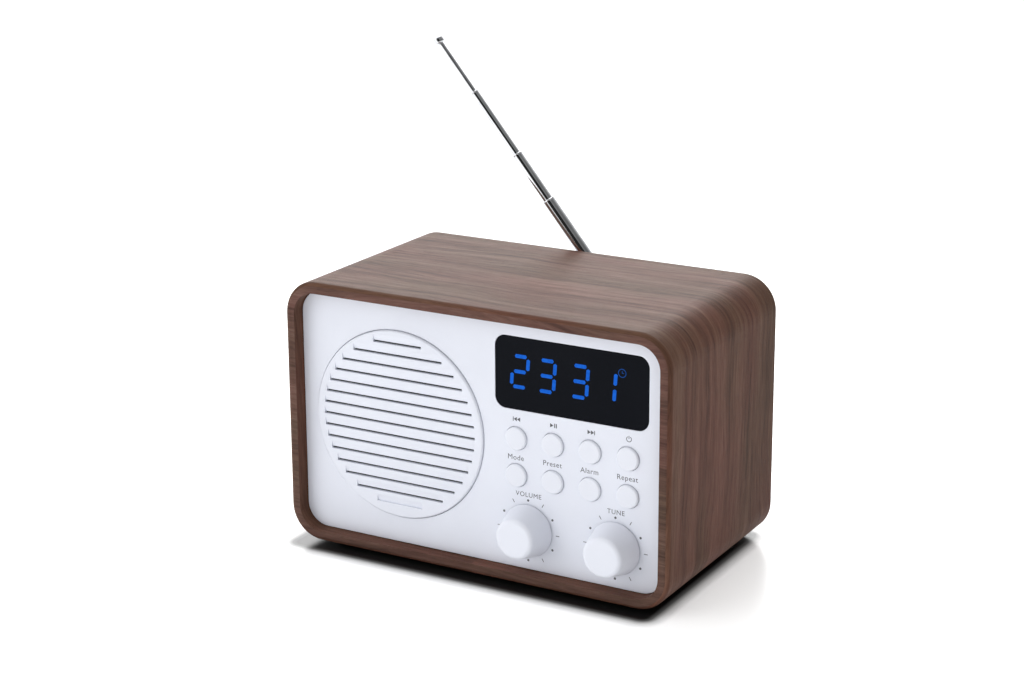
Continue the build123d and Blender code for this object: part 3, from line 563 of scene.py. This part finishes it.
# Where each kind of mark stands from the middle of what it names
icon_shift = Vector((0.3, 0.0, 8.65)) * MM
key_label_shift = Vector((-0.3, 0.0, 7.95)) * MM
dial_label_shift = Vector((0.2, 0.0, 16.1)) * MM
socket_label_shift = Vector((0.0, 0.0, -8.0)) * MM
icon_height = 1.9 * MM
icons = {
    "previous": [bar(-1.75 * MM, 0, 0.35 * MM, icon_height), arrow(-0.75 * MM, 0, -1.5 * MM, icon_height),
                 arrow(0.85 * MM, 0, -1.5 * MM, icon_height)],
    "play_pause": [arrow(-0.85 * MM, 0, 1.6 * MM, icon_height), bar(0.55 * MM, 0, 0.45 * MM, icon_height),
                   bar(1.35 * MM, 0, 0.45 * MM, icon_height)],
    "next": [arrow(-0.85 * MM, 0, 1.5 * MM, icon_height), arrow(0.75 * MM, 0, 1.5 * MM, icon_height),
             bar(1.75 * MM, 0, 0.35 * MM, icon_height)],
    "power": [*arc_band(0, 0, 1.15 * MM, 0.3 * MM, 120, 420), bar(0, 0.8 * MM, 0.3 * MM, 1.4 * MM)],
}
for key, outlines in icons.items():
    lay(outline_mesh("icon_" + key, outlines), "icon_" + key,
        on_face("button_" + key, panel_face, icon_shift), FRONT, ink_grey)

for key in ("mode", "preset", "alarm", "repeat"):
    lay(text_mesh("label_" + key, key.title(), 3.3 * MM, 1.08), "label_" + key,
        on_face("button_" + key, panel_face, key_label_shift), FRONT, ink_grey)

dial_radius = 13.7 * MM
for key in ("volume", "tune"):
    lay(text_mesh("label_" + key, key.upper(), 3.0 * MM, 1.12), "label_" + key,
        on_face(key + "_knob", panel_face, dial_label_shift), FRONT, ink_grey)
    marks = []
    for hour in range(12):
        angle = math.radians(90 - 30 * hour)
        out = Vector((math.cos(angle), math.sin(angle)))
        if hour % 2 == 0:
            marks.append(circle(*(out * dial_radius), 0.55 * MM, 16))
        else:
            side = Vector((-out.y, out.x)) * 0.16 * MM
            near, far = out * (dial_radius - 0.2 * MM), out * (dial_radius + 1.5 * MM)
            marks.append([tuple(near - side), tuple(far - side), tuple(far + side), tuple(near + side)])
    lay(outline_mesh("dial_" + key, marks), "dial_" + key,
        on_face(key + "_knob", panel_face, Vector()), FRONT, ink_soft)

cover_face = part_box("rear_cover")[1][1]
for key, words in (("dc_socket", "DC IN"), ("aux_socket", "AUX IN"), ("usb_socket", "USB")):
    lay(text_mesh("label_" + key, words, 2.4 * MM, 1.1), "label_" + key,
        on_face(key, cover_face, socket_label_shift), BACK, ink_grey)

# The lit clock digits, each of seven slanted segments
digit_width = 7.4 * MM
digit_rise = 6.8 * MM
segment_thick = 1.65 * MM
slant = 0.07
segments = {
    "top": (0, 1, True), "middle": (0, 0, True), "bottom": (0, -1, True),
    "upper_left": (-1, 0.5, False), "upper_right": (1, 0.5, False),
    "lower_left": (-1, -0.5, False), "lower_right": (1, -0.5, False),
}
shown = {
    "2": ("top", "upper_right", "middle", "lower_left", "bottom"),
    "3": ("top", "upper_right", "middle", "lower_right", "bottom"),
    "1": ("upper_right", "lower_right"),
}


def segment(right, up, level):
    """A rounded bar with pointed shoulders, about its middle."""
    length = (digit_width if level else digit_rise) - segment_thick * 0.95
    half, point = length / 2, segment_thick * 0.30
    thick = segment_thick / 2
    shape = [(-half, 0), (-half + point, thick), (half - point, thick), (half, 0),
             (half - point, -thick), (-half + point, -thick)]
    if not level:
        shape = [(thick_way, long_way) for long_way, thick_way in shape]
    return [(right + a + slant * (up + b), up + b) for a, b in shape]


window = middle("display_window")
digit_places = {"2": -24.4 * MM, "3": -11.5 * MM, "3_right": 4.1 * MM, "1": 17.0 * MM}
for key, offset in digit_places.items():
    outlines = [segment(side * digit_width / 2, rise * digit_rise, level)
                for side, rise, level in (segments[part] for part in shown[key[0]])]
    lay(outline_mesh("digit_" + key, outlines), "digit_" + key,
        Vector((window.x + offset, window_face, window.z + 0.9 * MM)), FRONT, digit_light)
clock = arc_band(0, 0, 1.75 * MM, 0.35 * MM, 0, 360, 32)
clock += [bar(0, 0.4 * MM, 0.3 * MM, 1.0 * MM), bar(0.4 * MM, 0, 0.9 * MM, 0.3 * MM)]
lay(outline_mesh("alarm_icon", clock), "alarm_icon",
    Vector((window.x + 24.0 * MM, window_face, window.z + 7.6 * MM)), FRONT, icon_light)

# ---------------------------------------------------------------- antenna collars

joints = {joint["name"]: joint for joint in frame["joints"]}
pivot = Vector(joints["antenna_turn"]["pos_m"])
along = Vector(joints["antenna_slide_2"]["axis"]).normalized()
rod_frame = along.to_track_quat("Z", "Y").to_matrix().to_4x4()


def reach(node):
    """How far a node reaches from the pivot along the rod."""
    return max((vertex.co - pivot).dot(along) for vertex in frame["nodes"][node].data.vertices)


def girth(node):
    """A rod's radius just below its upper end."""
    offsets = [vertex.co - pivot for vertex in frame["nodes"][node].data.vertices]
    end = max(offset.dot(along) for offset in offsets)
    near = [offset for offset in offsets if offset.dot(along) > end - 1 * MM]
    return max((offset - along * offset.dot(along)).length for offset in near)


def turned(name, profile, steps=48):
    """A piece turned about the rod's line from (radius, distance) points, closed into a ring."""
    shape = bmesh.new()
    rings = []
    for radius, run in profile:
        ring = []
        for i in range(steps):
            angle = 2 * math.pi * i / steps
            ring.append(shape.verts.new((radius * math.cos(angle), radius * math.sin(angle), run)))
        rings.append(ring)
    for near, far in zip(rings, rings[1:] + rings[:1]):
        for i in range(steps):
            j = (i + 1) % steps
            shape.faces.new((near[i], near[j], far[j], far[i]))
    bmesh.ops.recalc_face_normals(shape, faces=shape.faces)
    for face in shape.faces:
        face.smooth = True
    mesh = bpy.data.meshes.new(name)
    shape.to_mesh(mesh)
    shape.free()
    return mesh


for number in (1, 2, 3):
    rod = f"antenna_section_{number}"
    end = reach(rod)
    radius = girth(rod)
    bead = 0.12 * MM
    profile = [(radius - 0.02 * MM, end - 0.95 * MM), (radius + bead * 0.7, end - 0.85 * MM),
               (radius + bead, end - 0.6 * MM), (radius + bead * 0.7, end - 0.35 * MM),
               (radius - 0.02 * MM, end - 0.25 * MM)]
    lay(turned(f"antenna_collar_{number}", profile), f"antenna_collar_{number}", pivot, rod_frame,
        chrome, f"rod_{number}")

# ---------------------------------------------------------------- studio and camera

# Place, corner and soft width of the contact shadow painted on the floor, about the sleeve's box
painted_shadow_inset = Vector((6.5, -1.5)) * MM
painted_shadow_shift = Vector((-2.0, -2.5)) * MM
painted_shadow_corner = 3.0 * MM
painted_shadow_width = 9.0 * MM


def floor():
    """A plain white sweep, with a dark contact shadow painted into its colour round the sleeve's footprint."""
    g = Graph("studio_floor")
    low, high = (Vector(corner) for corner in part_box("wood_cabinet"))
    x, y, _ = g.split(g.coords["Object"])
    half = (high - low).to_2d() / 2 - painted_shadow_inset
    heart = (high + low).to_2d() / 2 + painted_shadow_shift
    past = []
    for place, centre, reach_out in zip((x, y), heart, half):
        offset = g.math("ABSOLUTE", g.math("SUBTRACT", place, centre))
        past.append(g.math("MAXIMUM", g.math("SUBTRACT", offset, reach_out - painted_shadow_corner), 0.0))
    gap = g.math("SUBTRACT", g.math("SQRT", g.math("ADD", g.math("POWER", past[0], 2.0),
                                                   g.math("POWER", past[1], 2.0))), painted_shadow_corner)
    soft = g.noise(g.coords["Object"], 3.0, 2.0)
    pale = g.ramp(soft, [(0.3, (0.93, 0.93, 0.93)), (0.7, (0.95, 0.95, 0.95))])
    # Painted contact shadow: the floor's colour goes dark, and its glow goes out, close round the sleeve's
    # footprint.
    clear = g.ramp(g.math("MULTIPLY", gap, 1.0 / painted_shadow_width, clamp=True),
                   [(0.0, 0.0), (0.25, 0.10), (0.55, 0.62), (1.0, 1.0)])
    g.set(base_color=g.mix(clear, (0.01, 0.01, 0.01), pale), emission_color=(1.0, 1.0, 1.0, 1.0),
          emission_strength=g.math("MULTIPLY", clear, 0.34), roughness=0.28, specular_ior_level=0.25)
    edge = 6.0
    mesh = bpy.data.meshes.new("studio_floor")
    mesh.from_pydata([(-edge, -edge, 0), (edge, -edge, 0), (edge, edge, 0), (-edge, edge, 0)],
                     [], [(0, 1, 2, 3)])
    mesh.materials.append(g.material)
    plane = bpy.data.objects.new("studio_floor", mesh)
    bpy.context.scene.collection.objects.link(plane)


def softbox(name, place, target, size, power, mirrored=True, direct=True):
    """A soft light; one that isn't mirrored stays out of polished surfaces, and one that isn't direct
    is only seen as a sheen on them."""
    lamp = bpy.data.lights.new(name, "AREA")
    lamp.shape = "RECTANGLE"
    lamp.size, lamp.size_y = size
    lamp.energy = power
    holder = bpy.data.objects.new(name, lamp)
    holder.location = place
    holder.rotation_euler = (Vector(target) - Vector(place)).to_track_quat("-Z", "Y").to_euler()
    holder.visible_glossy = mirrored
    holder.visible_diffuse = direct
    bpy.context.scene.collection.objects.link(holder)


def studio_world():
    """A white room, darker on the right and in a gap between the lights at the front."""
    world = bpy.data.worlds.new("studio_world")
    bpy.context.scene.world = world
    world.use_nodes = True
    tree = world.node_tree
    way = tree.nodes.new("ShaderNodeTexCoord").outputs["Generated"]

    def toward(direction, start, end, low, high):
        """Goes from low to high as the view comes closer to a direction."""
        dot = tree.nodes.new("ShaderNodeVectorMath")
        dot.operation = "DOT_PRODUCT"
        dot.inputs[1].default_value = Vector(direction).normalized()
        tree.links.new(way, dot.inputs[0])
        span = tree.nodes.new("ShaderNodeMapRange")
        span.interpolation_type = "SMOOTHSTEP"
        for socket, value in zip(("From Min", "From Max", "To Min", "To Max"), (start, end, low, high)):
            span.inputs[socket].default_value = value
        tree.links.new(dot.outputs["Value"], span.inputs["Value"])
        return span.outputs[0]

    product = tree.nodes.new("ShaderNodeMath")
    product.operation = "MULTIPLY"
    tree.links.new(toward((1.0, -0.1, 0.1), 0.0, 0.85, 1.0, 0.15), product.inputs[0])
    tree.links.new(toward((0.13, -0.92, 0.27), 0.80, 0.93, 1.0, 0.03), product.inputs[1])
    background = tree.nodes["Background"]
    background.inputs["Color"].default_value = (1.0, 1.0, 1.0, 1.0)
    tree.links.new(product.outputs[0], background.inputs["Strength"])


def camera():
    lens = bpy.data.cameras.new("photo_camera")
    lens.sensor_width = 36.0
    lens.lens = 78.18
    lens.shift_y = -0.0488
    holder = bpy.data.objects.new("photo_camera", lens)
    holder.location = (0.46508, -0.82720, 0.37739)
    holder.rotation_euler = [math.radians(a) for a in (74.601, 0.279, 29.803)]
    bpy.context.scene.collection.objects.link(holder)
    bpy.context.scene.camera = holder


floor()
studio_world()
softbox("key_light", (-1.25, -1.45, 0.7), (0.0, 0.0, 0.06), (1.3, 1.3), 8.0)
softbox("fill_light", (-0.1, -1.9, 0.3), (0.0, 0.0, 0.06), (1.6, 1.0), 5.2, mirrored=False)
softbox("side_light", (1.7, -1.1, 1.0), (0.0, 0.0, 0.06), (1.4, 1.4), 3.5, mirrored=False)
softbox("top_light", (0.0, 0.2, 1.8), (0.0, 0.0, 0.1), (1.4, 1.4), 8.0)
softbox("back_light", (-0.9, 1.6, 0.9), (0.0, 0.0, 0.1), (1.6, 0.9), 22.0, direct=False)
camera()
bpy.context.scene.view_settings.view_transform = "Standard"
